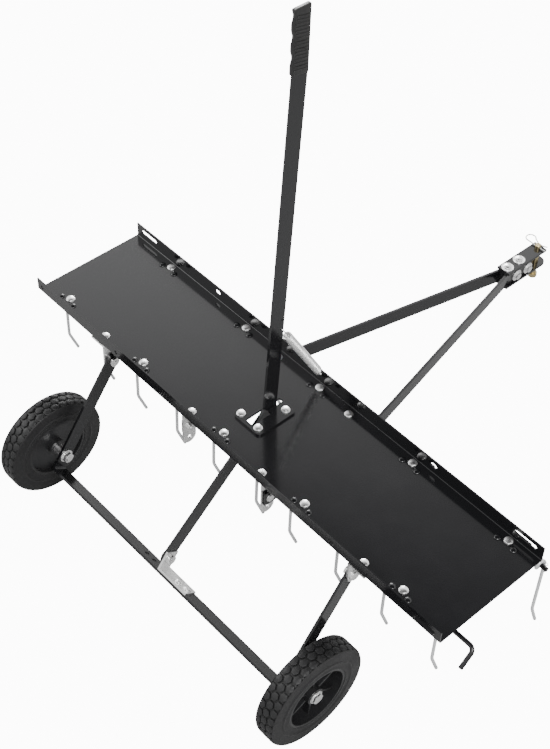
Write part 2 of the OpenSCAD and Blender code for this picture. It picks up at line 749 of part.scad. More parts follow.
module tine_brackets(bolts, y) color(black) for (x = bolts) translate([x, y, 0]) tine_bracket();

module tine_bracket_bolts() color(zinc) at_deck_bolts()
    translate([0, 0, sheet]) bolt(m8, af_8, sheet + bracket_sheet);

// A round head on the deck and a flat one under the bracket
module tine_bracket_rivets() color(black) at_deck_bolts() at_rivets() {
    translate([0, 0, -bracket_sheet]) cylinder(r = rivet_r, h = sheet + bracket_sheet);
    translate([0, 0, -bracket_sheet - 1.5]) cylinder(r = rivet_head_r - 1, h = 1.5);
    translate([0, 0, sheet]) intersection() {
        cylinder(r = rivet_head_r, h = rivet_head);
        cap_r = (pow(rivet_head_r, 2) + pow(rivet_head, 2)) / (2 * rivet_head);
        translate([0, 0, rivet_head - cap_r]) sphere(r = cap_r);
    }
}

// One leg's wire, about the rod's axis: from the tip over the knee to the coil's front, over its top,
// and on to the joining loop behind it
knee = [tine_half, knee_y, -knee_drop];
tip = [tine_half, tip_y, -tip_drop];
coil_start = [tine_half, coil_r, 0];
coil_steps = tine_turns * 8 + 4;
function tine_leg() = concat(
    [tip, knee + knee_round * unit(tip - knee), knee + knee_round * unit(coil_start - knee)],
    [for (i = [0 : coil_steps]) let (a = 45 * i)
        [tine_half - coil_pitch * i / 8, coil_r * cos(a), coil_r * sin(a)]],
    let (coil_end = tine_half - coil_pitch * coil_steps / 8)
        [[coil_end - loop_in / 3, (loop_y - coil_r) / 2, loop_z * 0.8],
         [coil_end - loop_in, loop_y, loop_z]]);
tine_right = tine_leg();
tine_path = concat(tine_right,
    [for (i = [len(tine_right) - 1 : -1 : 0]) [-tine_right[i][0], tine_right[i][1], tine_right[i][2]]]);
echo("double tine: least gap", least_gap(tine_path, tine_wire), "rings", len(tine_path));

module tine(x, y) color(tine_gray) translate([x, y, rod_z]) tube(tine_path, [1, 0, 0], tine_wire / 2);

place() {
    tray();
    latch_plate();
    latch_bolts();
    lever();
    lever_grip();
    lift_spring();
    wheel_frame();
    lever_bracket();
    lever_bracket_bolts();
    lever_pivot_bolt();
    frame_hanger(true);  // frame_hanger_left
    frame_hanger(false);  // frame_hanger_right
    frame_pivot_bolt(true);  // frame_pivot_bolt_left
    frame_pivot_bolt(false);  // frame_pivot_bolt_right
    hanger_bolts();
    tyre(true);  // tyre_left
    tyre(false);  // tyre_right
    rim(true);  // rim_left
    rim(false);  // rim_right
    hub_bush(true);  // hub_bush_left
    hub_bush(false);  // hub_bush_right
    axle_bolt(true);  // axle_bolt_left
    axle_bolt(false);  // axle_bolt_right
    tow_bar(true);  // tow_bar_left
    tow_bar(false);  // tow_bar_right
    tow_bracket(true, tow_rear_y);  // tow_bracket_rear_left
    tow_bracket(false, tow_rear_y);  // tow_bracket_rear_right
    tow_bracket(true, tow_front_y);  // tow_bracket_front_left
    tow_bracket(false, tow_front_y);  // tow_bracket_front_right
    tow_bracket_bolts();
    hitch_plate(tow_top, false);  // hitch_upper_plate
    hitch_plate(tow_top - tow_height - plate_sheet, true);  // hitch_lower_plate
    hitch_block();
    hitch_plate_bolts();
    hitch_cross_bolts();
    hitch_pin();
    hitch_clip();
    tine_rod_rear();
    tine_rod_front();
    rod_cotters();
    tine_brackets(rear_bolts, rear_bolt_y);  // tine_brackets_rear
    tine_brackets(front_bolts, front_bolt_y);  // tine_brackets_front
    tine_bracket_bolts();
    tine_bracket_rivets();
    for (i = [0 : 4]) {
        tine(rear_bolts[i], rear_rod_y);
        tine(front_bolts[i], front_rod_y);
    }
}
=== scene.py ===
"""Looks of the tow-behind dethatcher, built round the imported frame.

Lengths are in millimetres, measured from the deck as the part's source does: X 0 is its middle,
Y 0 its rear face and Z 0 its underside. at() turns them into metres in the row's frame.
"""

import json
import math

import bmesh
import bpy
from mathutils import Matrix, Vector


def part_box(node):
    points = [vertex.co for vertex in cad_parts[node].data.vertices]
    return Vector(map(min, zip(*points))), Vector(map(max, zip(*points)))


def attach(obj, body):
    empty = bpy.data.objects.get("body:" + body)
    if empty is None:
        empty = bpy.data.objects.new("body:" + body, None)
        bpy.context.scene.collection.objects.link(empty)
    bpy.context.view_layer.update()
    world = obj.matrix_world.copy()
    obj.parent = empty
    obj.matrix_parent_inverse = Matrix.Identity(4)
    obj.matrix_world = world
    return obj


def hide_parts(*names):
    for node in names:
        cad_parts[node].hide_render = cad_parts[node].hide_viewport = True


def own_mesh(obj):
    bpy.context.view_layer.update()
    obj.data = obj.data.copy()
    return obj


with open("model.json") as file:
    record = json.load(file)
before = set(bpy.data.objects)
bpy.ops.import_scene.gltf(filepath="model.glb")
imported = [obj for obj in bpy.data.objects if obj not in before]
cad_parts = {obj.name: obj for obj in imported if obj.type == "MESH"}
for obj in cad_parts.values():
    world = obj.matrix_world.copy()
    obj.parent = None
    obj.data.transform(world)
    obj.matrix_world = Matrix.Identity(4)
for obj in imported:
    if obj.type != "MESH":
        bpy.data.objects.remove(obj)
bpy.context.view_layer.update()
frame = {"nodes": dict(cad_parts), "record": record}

MM = 0.001
tray_low, tray_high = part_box("tray")
DECK = Vector(((tray_low[0] + tray_high[0]) / 2, tray_low[1], tray_low[2]))

# Camera, fitted to the photograph's straight edges
CAMERA_PLACE = (1203.4, -1025.4, 1846.6)
CAMERA_RIGHT = (0.670, 0.742, 0.0269)
CAMERA_UP = (-0.551, 0.4726, 0.688)
CAMERA_LENS = 95.28

# Light: levels of the sky by height above the horizon, and lamps as name, place, size and power
FLOOR_GRAY = 0.42
FLOOR_WHITE = 12
SKY_STRENGTH = 2.6
SKY = ((0.0, 0.35), (0.45, 0.45), (0.66, 0.9), (0.72, 0.62), (0.78, 0.24), (0.83, 0.04), (1.0, 0.03))
LAMPS = (("key", (2.2, -1.2, 3.0), 1.6, 90), ("fill", (-2.4, -1.6, 2.2), 2.0, 40),
         ("rear", (-3.2, 3.0, 2.1), 1.8, 130))

# Sheets, bars and fasteners, and how far their edges are rounded
EDGE, TRAY_EDGE = 0.6, 0.5
SHEET = 2.5
BRACKET_SHEET = 2.5
ANGLE_SHEET = 4
BAR_THICK = 5
M8, M10, M12 = 8, 10, 12
ACROSS_FLATS = {M8: 13, M10: 17, M12: 19}
WASHER_R, WASHER_BORE, WASHER_SHEET = 12, 4.1, 2

# Wheel frame and lever: the joints' far ends are those of the record
ARM_SLOPE = math.radians(54.5)
PIVOT = Vector((0, 14, -40))
ARM = Vector((0, -math.cos(ARM_SLOPE), -math.sin(ARM_SLOPE)))
AXLE = PIVOT + 208 * ARM
LEVER_PIN = PIVOT + 212 * ARM
CROSSBAR = 236
PIVOT_SEAT, PIVOT_GRIP = 314.8, 9.6
WHEEL_X, HUB_HALF = 350.5, 15.5
LEVER_X = -8
LEVER_LEAN = math.radians(2.9)
ELBOW = (122.5, 4)
SPRING_FOOT = Vector((0, 233.75, 21))
ANGLE_BOLTS = (38, 60)

# Deck and tow bars
REAR_BOLTS = (-446, -233, -17, 183, 406)
FRONT_BOLTS = (-393, -181, 12, 237, 449)
REAR_BOLT_Y = 27.6
FRONT_BOLT_Y = 221.7
ROD_AHEAD = 18
ROD_Z = -20
ROD_END = 518
RIVET_X, RIVET_BACK = 17, 8
HANGER_X = 329
BRACKET_YS = (17.6, 217)
LATCH_XS, LATCH_YS, LATCH_TOP = (-28.75, 14.75), (76.1, 139.1), 7
TOW_TAB_X, TOW_OUTSIDE, TOW_BOLT_Z, TOW_BOLT_AHEAD = 89.5, 108.5, -45, 3.4
PLATE_TOP, PLATE_FOOT = -25, -65
PLATE_BOLTS = (730, 763)
CROSS_BOLTS, CROSS_Z, CROSS_FACE = (747, 779), -46, 11.5
HITCH_PIN_Y, CLIP_Z = 818, -22

# Tyres
TYRE_R = 101
TYRE_HALF = 22
SHOULDER = 9
TREAD_DEPTH = 3
TREAD_END = 19
LUGS_AROUND = 36
LUG_ROW_X = 13.2

# Grip
GRIP_FOOT = (156.15, 668.2)
GRIP_LENGTH = 112
GRIP_REAR, GRIP_FRONT, GRIP_HALF = 17.0, 15.2, BAR_THICK / 2 + 1.2
GRIP_FOOT_SLOPE, GRIP_FOOT_WIDTH, GRIP_FOOT_FADE = 7, 32, 16
SCALLOPS, SCALLOP_FIRST, SCALLOP_PITCH, SCALLOP_HALF, SCALLOP_DEPTH = 3, 13, 33, 13.5, 2.6
RIDGE_FIRST, RIDGE_PITCH, RIDGE_SLANT, RIDGE_R = 12, 5.7, -2.4, 1.2


def at(point):
    """A point in millimetres from the deck, in the row's frame in metres."""
    return DECK + Vector(point) * MM


# Mesh building


class Shape:
    """Collects vertices in millimetres and faces for one piece."""

    def __init__(self):
        self.verts = []
        self.faces = []

    def add(self, verts, faces, place=None):
        start = len(self.verts)
        moved = [place @ Vector(v) for v in verts] if place else [Vector(v) for v in verts]
        self.verts.extend(moved)
        self.faces.extend([tuple(start + i for i in face) for face in faces])

    def piece(self, name, body, slot, nodes, smooth_angle=32):
        """Makes the object, which rides on body, takes the slot's finish and replaces the nodes."""
        mesh = bpy.data.meshes.new(name)
        mesh.from_pydata([at(v) for v in self.verts], [], self.faces)
        mesh.update()
        work = bmesh.new()
        work.from_mesh(mesh)
        bmesh.ops.recalc_face_normals(work, faces=work.faces)
        work.to_mesh(mesh)
        work.free()
        obj = bpy.data.objects.new(name, mesh)
        bpy.context.scene.collection.objects.link(obj)
        mesh.materials.append(materials[slot])
        mesh.shade_smooth()
        mesh.set_sharp_from_angle(angle=math.radians(smooth_angle))
        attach(obj, body)
        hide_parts(*nodes)
        return obj


def facing(direction, place):
    """A matrix that stands at place and whose Z axis runs along direction."""
    turn = Vector(direction).to_track_quat("Z", "Y").to_matrix().to_4x4()
    return Matrix.Translation(Vector(place)) @ turn


def lathe(profile, segments, closed=False):
    """A profile of (radius, height) turned about Z. An open profile gets a cap at both ends."""
    verts = []
    for step in range(segments):
        angle = 2 * math.pi * step / segments
        verts += [(r * math.cos(angle), r * math.sin(angle), h) for r, h in profile]
    count = len(profile)
    spans = count if closed else count - 1
    faces = []
    for step in range(segments):
        after = (step + 1) % segments
        for i in range(spans):
            j = (i + 1) % count
            faces.append((step * count + i, after * count + i, after * count + j, step * count + j))
    if not closed:
        faces.append(tuple(step * count for step in reversed(range(segments))))
        faces.append(tuple(step * count + count - 1 for step in range(segments)))
    return verts, faces


def hex_reach(angle, across):
    """How far a hexagon reaches at an angle, from its size across flats."""
    third = math.pi / 3
    return across / 2 / math.cos((angle % third) - third / 2)


def hexagon(across, height, bore=0):
    """A hexagon with both ends chamfered, standing on Z 0, and a bore through it if one is given."""
    segments = 48
    slope = math.tan(math.radians(30))
    flat = across / 2 * 0.97
    rings = [[], [], [], []]
    for step in range(segments):
        angle = 2 * math.pi * (step + 0.5) / segments
        reach = hex_reach(angle, across)
        drop = (reach - flat) * slope
        way = (math.cos(angle), math.sin(angle))
        for ring, (r, h) in zip(rings, ((flat, 0), (reach, drop), (reach, height - drop), (flat, height))):
            ring.append((r * way[0], r * way[1], h))
    if bore:
        for ring, h in ((rings, height), (rings, 0)):
            ring.append([(bore * math.cos(2 * math.pi * (s + 0.5) / segments),
                          bore * math.sin(2 * math.pi * (s + 0.5) / segments), h) for s in range(segments)])
    verts = [v for ring in rings for v in ring]
    faces = []
    pairs = len(rings) if bore else len(rings) - 1
    for k in range(pairs):
        low, high = k * segments, (k + 1) % len(rings) * segments
        for s in range(segments):
            t = (s + 1) % segments
            faces.append((low + s, low + t, high + t, high + s))
    if not bore:
        faces.append(tuple(reversed(range(segments))))
        faces.append(tuple(range(3 * segments, 4 * segments)))
    return verts, faces


def threaded(d, length):
    """A shank from Z 0 down, with thread ridges and a chamfered end."""
    pitch, groove, chamfer = 1.25, 0.35, 1
    steps = max(4, int(length / pitch * 2))
    profile = [(d / 2, 0)]
    for i in range(1, steps):
        profile.append((d / 2 - (groove if i % 2 else 0), -length * i / steps))
    profile.append((d / 2 - chamfer, -length))
    return lathe(profile, 24)


def bolt(shape, place, d, grip):
    """A flanged bolt with its head on Z 0 of place, and its nut under the grip."""
    across = ACROSS_FLATS[d]
    head, nut = 0.42 * d, 0.65 * d
    flange = across * 0.625
    skirt = [(flange - 0.3, 0), (flange, 0.3), (flange - 0.2, 0.9), (across * 0.5, head * 0.4)]
    shape.add(*hexagon(across, head), place)
    shape.add(*lathe(skirt, 40), place)
    shape.add(*threaded(d - 0.02, grip + nut + 1), place)
    under = place @ Matrix.Translation((0, 0, -grip - nut))
    shape.add(*hexagon(across, nut, d / 2 + 0.05), under)


def washer(shape, place, r, bore, height):
    """A ring that stands on Z 0 of place, with its outer edges broken."""
    edge = 0.2
    profile = [(bore, 0), (r - edge, 0), (r, edge), (r, height - edge), (r - edge, height), (bore, height)]
    shape.add(*lathe(profile, 40, closed=True), place)


def rounded(points, radius, steps=6):
    """The same path with each inner corner drawn as a curve that starts radius away from it."""
    path = [Vector(points[0])]
    for before, corner, after in zip(points, points[1:], points[2:]):
        before, corner, after = Vector(before), Vector(corner), Vector(after)
        start = corner + (before - corner).normalized() * min(radius, (before - corner).length / 2)
        end = corner + (after - corner).normalized() * min(radius, (after - corner).length / 2)
        for i in range(steps + 1):
            f = i / steps
            path.append(start.lerp(corner, f).lerp(corner.lerp(end, f), f))
    path.append(Vector(points[-1]))
    return path


def tube(path, radius, sides):
    """A wire swept along the path, with its ends rounded off."""
    path = [Vector(p) for p in path]
    count = len(path)
    ways = [(path[min(i + 1, count - 1)] - path[max(i - 1, 0)]).normalized() for i in range(count)]
    side = ways[0].orthogonal().normalized()
    rings = []
    for point, way in zip(path, ways):
        side = (side - side.dot(way) * way).normalized()
        rings.append((point, side.copy(), way.cross(side), radius))
    first, last = rings[0], rings[-1]
    nose = radius * 0.6
    caps_first = [(first[0] - ways[0] * nose, first[1], first[2], radius * 0.45),
                  (first[0] - ways[0] * nose * 0.5, first[1], first[2], radius * 0.85)]
    caps_last = [(last[0] + ways[-1] * nose * 0.5, last[1], last[2], radius * 0.85),
                 (last[0] + ways[-1] * nose, last[1], last[2], radius * 0.45)]
    verts = []
    for point, u, v, r in caps_first + rings + caps_last:
        for k in range(sides):
            angle = 2 * math.pi * k / sides
            verts.append(point + r * (math.cos(angle) * u + math.sin(angle) * v))
    total = count + 4
    faces = [tuple(reversed(range(sides))), tuple(range((total - 1) * sides, total * sides))]
    for i in range(total - 1):
        for k in range(sides):
            m = (k + 1) % sides
            faces.append((i * sides + k, i * sides + m, (i + 1) * sides + m, (i + 1) * sides + k))
    return verts, faces


# Materials


def finish_of(name, color, roughness, grain, bump, metallic=0.0, mottle=0.12, spread=0.08, patch=18.0):
    """A surface with fine grain in its bump, and broad patches in its colour and gloss."""
    mat = bpy.data.materials.new(name)
    mat.use_nodes = True
    nodes, links = mat.node_tree.nodes, mat.node_tree.links
    shader = nodes["Principled BSDF"]
    shader.inputs["Metallic"].default_value = metallic
    coords = nodes.new("ShaderNodeTexCoord")
    fine = nodes.new("ShaderNodeTexNoise")
    fine.inputs["Scale"].default_value = grain
    fine.inputs["Detail"].default_value = 3
    broad = nodes.new("ShaderNodeTexNoise")
    broad.inputs["Scale"].default_value = patch
    broad.inputs["Detail"].default_value = 6
    broad.inputs["Roughness"].default_value = 0.65
    links.new(coords.outputs["Object"], fine.inputs["Vector"])
    links.new(coords.outputs["Object"], broad.inputs["Vector"])
    tint = nodes.new("ShaderNodeMix")
    tint.data_type = "RGBA"
    tint.inputs["A"].default_value = (*[c * (1 - mottle) for c in color], 1)
    tint.inputs["B"].default_value = (*[min(1, c * (1 + mottle)) for c in color], 1)
    links.new(broad.outputs["Fac"], tint.inputs["Factor"])
    links.new(tint.outputs["Result"], shader.inputs["Base Color"])
    gloss = nodes.new("ShaderNodeMapRange")
    gloss.inputs["From Min"].default_value = 0.3
    gloss.inputs["From Max"].default_value = 0.7
    gloss.inputs["To Min"].default_value = max(0.02, roughness - spread)
    gloss.inputs["To Max"].default_value = roughness + spread
    links.new(broad.outputs["Fac"], gloss.inputs["Value"])
    links.new(gloss.outputs["Result"], shader.inputs["Roughness"])
    relief = nodes.new("ShaderNodeBump")
    relief.inputs["Strength"].default_value = bump
    relief.inputs["Distance"].default_value = 0.0004
    links.new(fine.outputs["Fac"], relief.inputs["Height"])
    links.new(relief.outputs["Normal"], shader.inputs["Normal"])
    return mat


materials = {
    "black_paint": finish_of("black_powder_coat", (0.007, 0.007, 0.008), 0.13, grain=900, bump=0.04,
                             spread=0.03),
    "zinc": finish_of("bright_zinc", (0.95, 0.95, 0.94), 0.30, metallic=1.0, grain=420, bump=0.10,
                      mottle=0.10, spread=0.12, patch=60),
    "tine_steel": finish_of("gray_tine_coat", (0.76, 0.77, 0.78), 0.38, metallic=0.4, grain=800, bump=0.10,
                            mottle=0.08, spread=0.06, patch=40),
    "tyre_rubber": finish_of("tyre_rubber", (0.006, 0.006, 0.0065), 0.52, grain=1100, bump=0.30,
                             mottle=0.25, spread=0.10, patch=26),
    "rim_plastic": finish_of("rim_plastic", (0.016, 0.016, 0.017), 0.36, grain=1500, bump=0.20, mottle=0.10),
    "grip_rubber": finish_of("grip_rubber", (0.010, 0.010, 0.010), 0.34, grain=1300, bump=0.20, mottle=0.15),
    "bush_nylon": finish_of("bush_nylon", (0.62, 0.62, 0.58), 0.35, grain=900, bump=0.05, mottle=0.05),
    "pin_brass": finish_of("yellow_zinc", (0.50, 0.42, 0.24), 0.34, metallic=1.0, grain=500, bump=0.08,
                           mottle=0.22, spread=0.10, patch=80),
}
slots = {part["node"]: part["material_slot"] for part in frame["record"]["subparts"]}
body_of = {node: body for body, nodes in frame["record"]["behaviour"]["bodies"].items() for node in nodes}


def dress_nodes():
    """Gives every CAD node its slot's material."""
    for name, obj in frame["nodes"].items():
        obj.data.materials.clear()
        obj.data.materials.append(materials[slots[name]])


def soften(name, width):
    """A copy of a CAD node whose flat faces are whole and whose sharp edges are rounded."""
    source = frame["nodes"][name]
    mesh = bpy.data.meshes.new(f"{name}_soft")
    work = bmesh.new()
    work.from_mesh(source.data)
    work.transform(source.matrix_world)
    bmesh.ops.remove_doubles(work, verts=work.verts, dist=0.00001)
    bmesh.ops.dissolve_limit(work, angle_limit=math.radians(0.6), verts=work.verts, edges=work.edges)
    bmesh.ops.recalc_face_normals(work, faces=work.faces)
    work.to_mesh(mesh)
    work.free()
    mesh.materials.append(materials[slots[name]])
    mesh.shade_smooth()
    obj = bpy.data.objects.new(f"{name}_soft", mesh)
    bpy.context.scene.collection.objects.link(obj)
    bevel = obj.modifiers.new("soft_edges", "BEVEL")
    bevel.width = width * MM
    bevel.segments = 2
    bevel.limit_method = "ANGLE"
    bevel.angle_limit = math.radians(40)
    shade = obj.modifiers.new("shade", "WEIGHTED_NORMAL")
    shade.keep_sharp = True
    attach(obj, body_of[name])
    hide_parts(name)


# Pieces


def deck_bolt_places():
    """The X and Y of each tine bracket's bolt."""
    return [(x, y) for xs, y in ((REAR_BOLTS, REAR_BOLT_Y), (FRONT_BOLTS, FRONT_BOLT_Y)) for x in xs]


def deck_bolts():
    """The bright bolts of the ten tine brackets."""
    shape = Shape()
    for x, y in deck_bolt_places():
        bolt(shape, Matrix.Translation((x, y, SHEET)), M8, SHEET + BRACKET_SHEET)
    shape.piece("tine_bracket_bolt_set", "tray", "zinc", ["tine_bracket_bolts"])


def hanger_bolts():
    """The bolts that hold the wheel frame's two hangers to the deck."""
    shape = Shape()
    for side in (-1, 1):
        bolt(shape, Matrix.Translation((side * HANGER_X, BRACKET_YS[0], SHEET)), M8, SHEET + ANGLE_SHEET)
    shape.piece("hanger_bolt_set", "tray", "zinc", ["hanger_bolts"])


def tow_bracket_bolts():
    """Each tow bracket's bolt through the deck, and the one through the tow bar."""
    shape = Shape()
    for side in (-1, 1):
        for y in BRACKET_YS:
            bolt(shape, Matrix.Translation((side * TOW_TAB_X, y, SHEET)), M8, SHEET + ANGLE_SHEET)
            beside = (side * TOW_OUTSIDE, y + TOW_BOLT_AHEAD, TOW_BOLT_Z)
            bolt(shape, facing((side, 0, 0), beside), M8, BAR_THICK + ANGLE_SHEET)
    shape.piece("tow_bracket_bolt_set", "tray", "zinc", ["tow_bracket_bolts"])


def latch_bolts():
    """The four bolts of the latch plate."""
    shape = Shape()
    for x in LATCH_XS:
        for y in LATCH_YS:
            bolt(shape, Matrix.Translation((x, y, LATCH_TOP)), M8, LATCH_TOP)
    shape.piece("latch_bolt_set", "tray", "zinc", ["latch_bolts"])


def hitch_bolts():
    """The upright bolts through both hitch plates, and the cross bolts through the tow bars."""
    upright = Shape()
    for y in PLATE_BOLTS:
        grip = PLATE_TOP - PLATE_FOOT + 2 * WASHER_SHEET
        bolt(upright, Matrix.Translation((0, y, PLATE_TOP + WASHER_SHEET)), M8, grip)
        for z in (PLATE_TOP, PLATE_FOOT - WASHER_SHEET):
            washer(upright, Matrix.Translation((0, y, z)), WASHER_R, WASHER_BORE, WASHER_SHEET)
    upright.piece("hitch_plate_bolt_set", "tray", "zinc", ["hitch_plate_bolts"])
    cross = Shape()
    for y in CROSS_BOLTS:
        seat = CROSS_FACE + WASHER_SHEET
        bolt(cross, facing((-1, 0, 0), (-seat, y, CROSS_Z)), M8, 2 * seat)
        for x in (-CROSS_FACE, seat):
            washer(cross, facing((-1, 0, 0), (x, y, CROSS_Z)), WASHER_R, WASHER_BORE, WASHER_SHEET)
    cross.piece("hitch_cross_bolt_set", "tray", "zinc", ["hitch_cross_bolts"])


def rivets():
    """Domed heads on the deck and flat ones under the brackets."""
    dome = [(6.3, 0), (6.5, 0.25), (6.4, 0.7), (5.7, 1.5), (4.5, 2.25), (3, 2.75), (1.5, 2.95), (0.2, 3)]
    shank = [(3, -4.1), (3, 2.6)]
    foot = [(5.2, -4), (5.5, -3.7), (5.5, -2.5)]
    shape = Shape()
    for x, y in deck_bolt_places():
        for across in (-RIVET_X, RIVET_X):
            centre = Vector((x + across, y - RIVET_BACK, 0))
            shape.add(*lathe(dome, 40), Matrix.Translation(centre + Vector((0, 0, SHEET))))
            shape.add(*lathe(shank, 24), Matrix.Translation(centre))
            shape.add(*lathe(foot, 40), Matrix.Translation(centre))
    shape.piece("tine_bracket_rivet_set", "tray", "black_paint", ["tine_bracket_rivets"])


def frame_bolts():
    """The wheel frame's pivot bolts, the axle bolts with their rings, and the lever's fasteners."""
    inner_washer = 303.4
    rings = ((366.2, 2, 13), (inner_washer, 2, 13), (310.5, 20.3, 10))
    for side, word in ((-1, "left"), (1, "right")):
        pivot = Shape()
        bolt(pivot, facing((side, 0, 0), (side * PIVOT_SEAT, PIVOT.y, PIVOT.z)), M10, PIVOT_GRIP)
        pivot.piece(f"pivot_bolt_{word}", "tray", "zinc", [f"frame_pivot_bolt_{word}"])
        axle = Shape()
        seat = WHEEL_X + HUB_HALF + 2.3
        bolt(axle, facing((side, 0, 0), (side * seat, AXLE.y, AXLE.z)), M12, seat - inner_washer)
        for start, height, r in rings:
            washer(axle, facing((side, 0, 0), (side * start, AXLE.y, AXLE.z)), r, 6.1, height)
        axle.piece(f"axle_bolt_set_{word}", "wheel_frame", "zinc", [f"axle_bolt_{word}"])
    pin = Shape()
    seat = LEVER_X - BAR_THICK / 2 - 0.3
    bolt(pin, facing((-1, 0, 0), (seat, LEVER_PIN.y, LEVER_PIN.z)), M10, PIVOT_GRIP)
    pin.piece("lever_pivot_bolt_set", "wheel_frame", "zinc", ["lever_pivot_bolt"])
    angle = Shape()
    seat = PIVOT + (CROSSBAR - ANGLE_SHEET) * ARM
    for x in ANGLE_BOLTS:
        bolt(angle, facing(-ARM, (x, seat.y, seat.z)), M8, BAR_THICK + ANGLE_SHEET)
    angle.piece("lever_bracket_bolt_set", "wheel_frame", "zinc", ["lever_bracket_bolts"])


def tine_leg():
    """Half a double tine about the rod's axis, from the tip over the knee and the coil to the loop."""
    half, coil_r, pitch, turns, steps = 57, 8.2, 6.8, 1.5, 24
    leg = rounded([(half, 25, -173), (half, 7.5, -127), (half, coil_r, 0)], 6)
    coil = []
    for i in range(int(turns * steps) + 1):
        angle = 2 * math.pi * i / steps
        coil.append(Vector((half - pitch * i / steps, coil_r * math.cos(angle), coil_r * math.sin(angle))))
    end = half - pitch * turns
    loop = [Vector((end - 3, -10.35, -2.4)), Vector((end - 6, -12.0, -2.9)), Vector((end - 9, -12.5, -3))]
    return leg[:-1] + coil + loop


def tines():
    """The ten double tines, each one wire round its rod."""
    wire_r = 3
    right = tine_leg()
    left = [Vector((-p.x, p.y, p.z)) for p in reversed(right)]
    for row, xs, bolt_y in (("rear", REAR_BOLTS, REAR_BOLT_Y), ("front", FRONT_BOLTS, FRONT_BOLT_Y)):
        for i, x in enumerate(xs, 1):
            centre = Vector((x, bolt_y + ROD_AHEAD, ROD_Z))
            shape = Shape()
            shape.add(*tube([centre + p for p in right + left], wire_r, 14))
            node = f"tine_{row}_{i}"
            shape.piece(f"{node}_wire", node, "tine_steel", [node], 60)


def lift_spring():
    """An extension spring whose hooks pass through the lever's and the front flange's holes."""
    top = on_lever(9.5, 181, 0)
    wire_r, coil_r, turns, steps, top_lead, foot_lead = 1.0, 7.0, 52, 20, 28, 16
    along = (SPRING_FOOT - top).normalized()
    length = (SPRING_FOOT - top).length
    across = Vector((1, 0, 0))
    across = (across - across.dot(along) * along).normalized()
    third = along.cross(across)
    path = []
    for i in range(11):
        angle = math.radians(-110 + 20 * i)
        path.append(top + coil_r * (1 - math.cos(angle)) * along + coil_r * math.sin(angle) * across)
    count = int((turns + 0.25) * steps)
    for i in range(count + 1):
        angle = 2 * math.pi * i / steps
        reach = top_lead + (length - top_lead - foot_lead) * i / count
        path.append(top + reach * along + coil_r * (math.cos(angle) * across + math.sin(angle) * third))
    for i in range(9):
        angle = math.radians(-90 + 20 * i)
        path.append(SPRING_FOOT - coil_r * (1 - math.cos(angle)) * along - coil_r * math.sin(angle) * third)
    shape = Shape()
    shape.add(*tube(path, wire_r, 8))
    spring = shape.piece("lift_spring_wire", "tray", "zinc", ["lift_spring"], 70)
    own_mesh(spring)


def tread_reach(x):
    """How far the tread reaches from the axle at x from the tyre's middle plane."""
    past = abs(x) - (TYRE_HALF - SHOULDER)
    if past <= 0:
        return TYRE_R
    return TYRE_R - SHOULDER + math.sqrt(max(0, SHOULDER ** 2 - past ** 2))


def groove_depth(x):
    """The tread is cut between its lugs, and the shoulders stay whole."""
    return TREAD_DEPTH * min(1, max(0, (TREAD_END - abs(x)) / 1.5))


def tread_block(shape, place, x, turn, outline):
    """A lug of the tread, whose outline is in (x, length along the tread) and runs round its middle."""
    verts = []
    levels = ((1.0, TREAD_DEPTH + 0.8), (1.0, 0.9), (0.95, 0.25), (0.86, 0.0))
    for scale, depth in levels:
        for dx, ds in outline:
            px = x + dx * scale
            reach = tread_reach(px) - depth
            angle = turn + ds * scale / TYRE_R
            verts.append((reach * math.cos(angle), reach * math.sin(angle), px))
    n = len(outline)
    top = (len(levels) - 1) * n
    faces = [tuple(reversed(range(n)))]
    for k in range(len(levels) - 1):
        for i in range(n):
            j = (i + 1) % n
            faces.append((k * n + i, k * n + j, (k + 1) * n + j, (k + 1) * n + i))
    verts.append((tread_reach(x) * math.cos(turn), tread_reach(x) * math.sin(turn), x))
    faces += [(top + i, top + (i + 1) % n, len(verts) - 1) for i in range(n)]
    shape.add(verts, faces, place)


def tyre(side, word):
    """A turned body with a ridge on each sidewall, and three rows of six-sided lugs."""
    place = facing((side, 0, 0), (side * WHEEL_X, AXLE.y, AXLE.z))
    wall = [(60.5, -20.0), (62, -21.2), (66, -21.0), (72, -20.8),
            (73.5, -21.6), (75, -22), (76.5, -21.6), (78, -20.6), (88, -20.4)]
    crown = [(tread_reach(x) - groove_depth(x), x) for x in range(-20, 21)]
    shape = Shape()
    shape.add(*lathe(wall + crown + [(r, -h) for r, h in reversed(wall)], 120, closed=True), place)
    quarter = [(7.0, 0), (6.6, 1.2), (4.1, 6.2), (3.3, 7.1), (2.2, 7.3)]
    half = quarter + [(-dx, ds) for dx, ds in reversed(quarter)]
    lug = half + [(dx, -ds) for dx, ds in reversed(half[1:-1])]
    for i in range(LUGS_AROUND):
        turn = 2 * math.pi * i / LUGS_AROUND
        between = turn + math.pi / LUGS_AROUND
        tread_block(shape, place, 0, turn, lug)
        for way in (-1, 1):
            tread_block(shape, place, way * LUG_ROW_X, between, lug)
    shape.piece(f"tyre_tread_{word}", f"wheel_{word}", "tyre_rubber", [f"tyre_{word}"], 30)


def on_lever(forward, up, across):
    """A point measured from the lever's elbow: forwards, up along the bar, and across to the right."""
    sine, cosine = math.sin(LEVER_LEAN), math.cos(LEVER_LEAN)
    return Vector((LEVER_X + across, ELBOW[0] + forward * cosine + up * sine,
                   ELBOW[1] + up * cosine - forward * sine))


def grip_rear(up):
    """How far the grip reaches rearwards at a height above its foot: three finger scallops."""
    reach = GRIP_REAR
    for i in range(SCALLOPS):
        gap = abs(up - (GRIP_LENGTH - SCALLOP_FIRST - SCALLOP_PITCH * i))
        if gap < SCALLOP_HALF:
            reach -= SCALLOP_DEPTH * (0.5 + 0.5 * math.cos(math.pi * gap / SCALLOP_HALF))
    return reach


